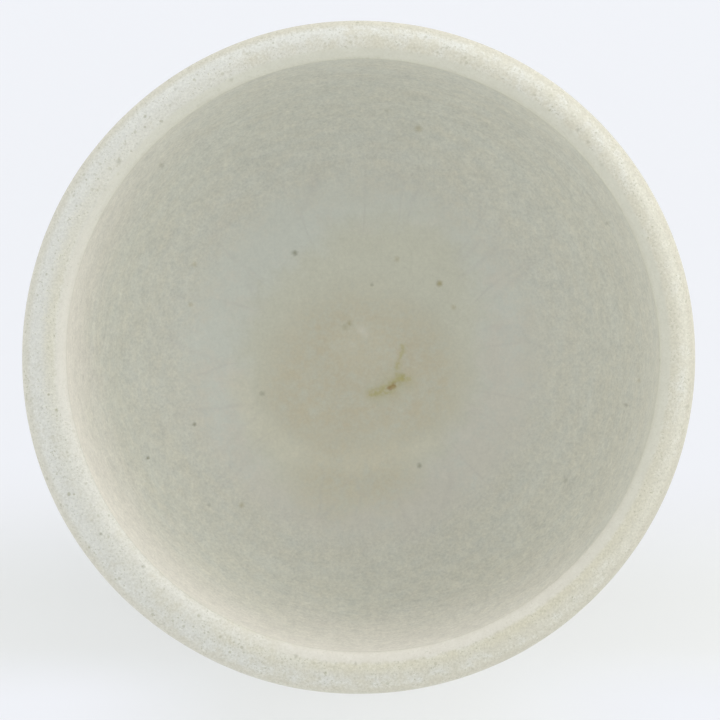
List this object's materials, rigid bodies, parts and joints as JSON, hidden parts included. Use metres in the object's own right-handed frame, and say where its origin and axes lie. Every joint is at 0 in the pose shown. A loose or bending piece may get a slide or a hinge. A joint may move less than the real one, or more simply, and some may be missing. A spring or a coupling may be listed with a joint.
{
  "type": "pottery bowl",
  "caption": "Round wheel-thrown stoneware bowl with a thick rounded lip, a deep U-shaped inside and a turned foot ring, glazed pale grey-green inside, outside and under the foot.",
  "frame": {"origin": "middle of the foot ring, on the surface that the bowl stands on", "axes": "+Z up along the axis that the bowl was thrown and turned on, towards its mouth; +X to the right and +Y up as the picture shows it, looking down that axis into the bowl"},
  "size_m": [0.18, 0.18, 0.082],
  "materials": {
    "stoneware": "bare fired clay, fine-grained and matte",
    "liner_glaze": "pale grey-green satin glaze, mottled, with a tan spiral where it is thin on the floor",
    "outer_glaze": "pale grey-green satin glaze, bluish where thick on the lip and cream on its edges"
  },
  "bodies": {
    "root": {"clay_body": "stoneware", "inner_glaze": "liner_glaze", "outer_glaze": "outer_glaze", "base_glaze": "outer_glaze"}
  },
  "joints": []
}
